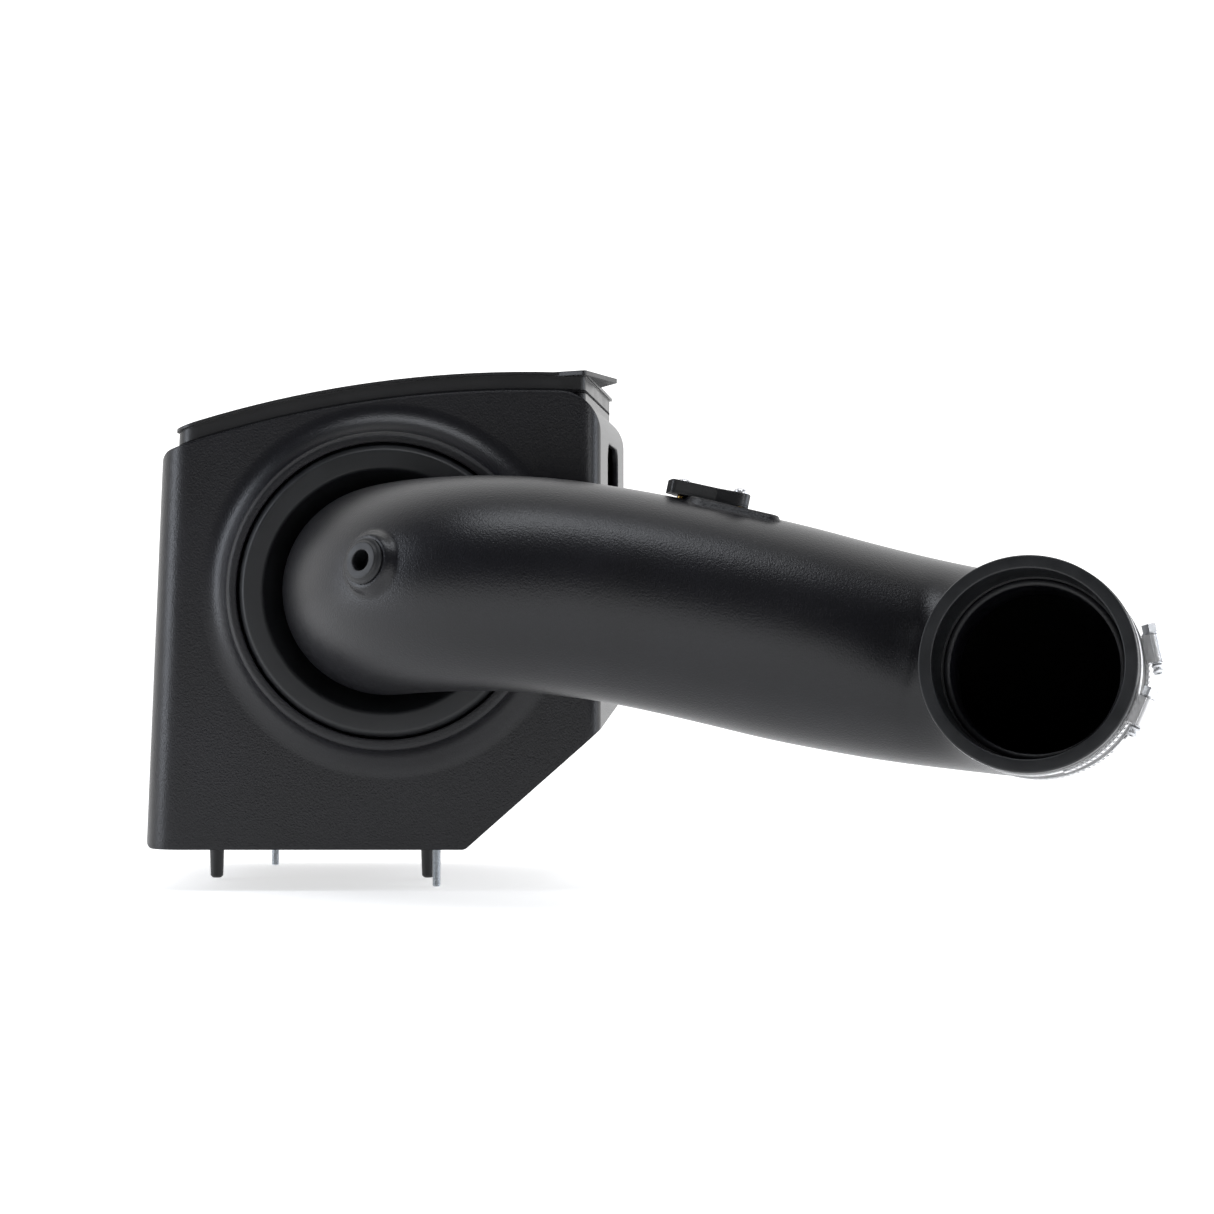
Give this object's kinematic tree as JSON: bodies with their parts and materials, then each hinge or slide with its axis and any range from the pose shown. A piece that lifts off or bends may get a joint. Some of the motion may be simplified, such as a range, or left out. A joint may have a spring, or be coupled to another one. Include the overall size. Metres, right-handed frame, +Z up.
{
  "type": "cold air intake",
  "caption": "Engine air intake: a closed filter box with a lid, a wide double-bend intake tube, a clamped rubber outlet coupler and a conical filter inside.",
  "frame": {"origin": "midway between the two mounting studs, on the plane of the box base", "axes": "+X along the box towards the outlet side, +Y from the front wall with the port to the back wall, +Z up, away from the studs"},
  "size_m": [0.6376, 0.4917, 0.3482],
  "materials": {
    "textured_plastic": "moulded with a fine pebble grain",
    "smooth_plastic": "smooth satin moulding",
    "seal_rubber": "smooth satin rubber",
    "foam_rubber": "matte closed-cell foam",
    "coupler_rubber": "smooth satin rubber",
    "filter_urethane": "cast urethane",
    "filter_cotton": "oiled cotton gauze",
    "filter_mesh": "woven wire, bright",
    "brass": "knurled, machined",
    "stainless_screws": "bright stainless",
    "zinc_steel": "zinc plated, rolled thread",
    "clamp_steel": "rolled stainless band",
    "clamp_screw_steel": "plated, turned"
  },
  "bodies": {
    "root": {"air_box": "textured_plastic", "far_clamp_band": "clamp_steel", "far_clamp_housing": "clamp_steel", "gauge_grommet": "seal_rubber", "intake_tube": "textured_plastic", "lid_inserts": "brass", "locating_pegs": "smooth_plastic", "mounting_studs": "zinc_steel", "near_clamp_band": "clamp_steel", "near_clamp_housing": "clamp_steel", "outlet_coupler": "coupler_rubber", "port_seal": "seal_rubber", "sensor_cover": "smooth_plastic", "sensor_gasket": "seal_rubber", "sensor_inserts": "brass", "sensor_screws": "stainless_screws", "stud_washers": "seal_rubber"},
    "lid": {"lid": "smooth_plastic", "lid_seal": "foam_rubber", "lid_screws": "stainless_screws", "lid_washers": "stainless_screws"},
    "filter": {"filter_flange": "filter_urethane", "filter_media": "filter_cotton", "filter_outer_screen": "filter_mesh", "filter_inner_screen": "filter_mesh", "filter_end_cap": "filter_urethane", "filter_clamp_band": "clamp_steel", "filter_clamp_housing": "clamp_steel"},
    "near_clamp_screw": {"near_clamp_screw": "clamp_screw_steel"},
    "near_clamp_tail": {"near_clamp_tail": "clamp_steel"},
    "far_clamp_screw": {"far_clamp_screw": "clamp_screw_steel"},
    "far_clamp_tail": {"far_clamp_tail": "clamp_steel"},
    "filter_clamp_screw": {"filter_clamp_screw": "clamp_screw_steel"},
    "filter_clamp_tail": {"filter_clamp_tail": "clamp_steel"}
  },
  "joints": [
    {"name": "lid_lift", "type": "slide", "parent": "root", "child": "lid", "axis": [0, 0, 1], "range_m": [0, 0.08]},
    {"name": "filter_slide", "type": "slide", "parent": "root", "child": "filter", "axis": [0, 1, 0], "range_m": [0, 0.026]},
    {"name": "near_clamp_screw_turn", "type": "hinge", "parent": "root", "child": "near_clamp_screw", "pos_m": [0.48438, -0.36649, 0.1025], "axis": [0.3882, -0.0027, 0.9216], "range_deg": [-540, 540]},
    {"name": "near_clamp_band_pull", "type": "hinge", "parent": "root", "child": "near_clamp_tail", "pos_m": [0.42445, -0.34685, 0.12781], "axis": [-0.2673, -0.9573, 0.1097], "range_deg": [-4.5, 4.5]},
    {"name": "far_clamp_screw_turn", "type": "hinge", "parent": "root", "child": "far_clamp_screw", "pos_m": [0.50107, -0.3191, 0.13738], "axis": [-0.1797, 0.1614, 0.9704], "range_deg": [-540, 540]},
    {"name": "far_clamp_band_pull", "type": "hinge", "parent": "root", "child": "far_clamp_tail", "pos_m": [0.43674, -0.30282, 0.12276], "axis": [-0.2673, -0.9573, 0.1097], "range_deg": [-4.5, 4.5]},
    {"name": "filter_clamp_screw_turn", "type": "hinge", "parent": "filter", "child": "filter_clamp_screw", "pos_m": [-0.00303, -0.08715, 0.10201], "axis": [-0.8829, 0, 0.4695], "range_deg": [-540, 540]},
    {"name": "filter_clamp_band_pull", "type": "hinge", "parent": "filter", "child": "filter_clamp_tail", "pos_m": [0.0345, -0.08715, 0.1726], "axis": [0, 1, 0], "range_deg": [-3.8, 3.8]}
  ],
  "couplings": [
    {"joint": "near_clamp_band_pull", "follows": "near_clamp_screw_turn", "ratio": 0.008002},
    {"joint": "far_clamp_band_pull", "follows": "far_clamp_screw_turn", "ratio": 0.008002},
    {"joint": "filter_clamp_band_pull", "follows": "filter_clamp_screw_turn", "ratio": 0.006732}
  ]
}
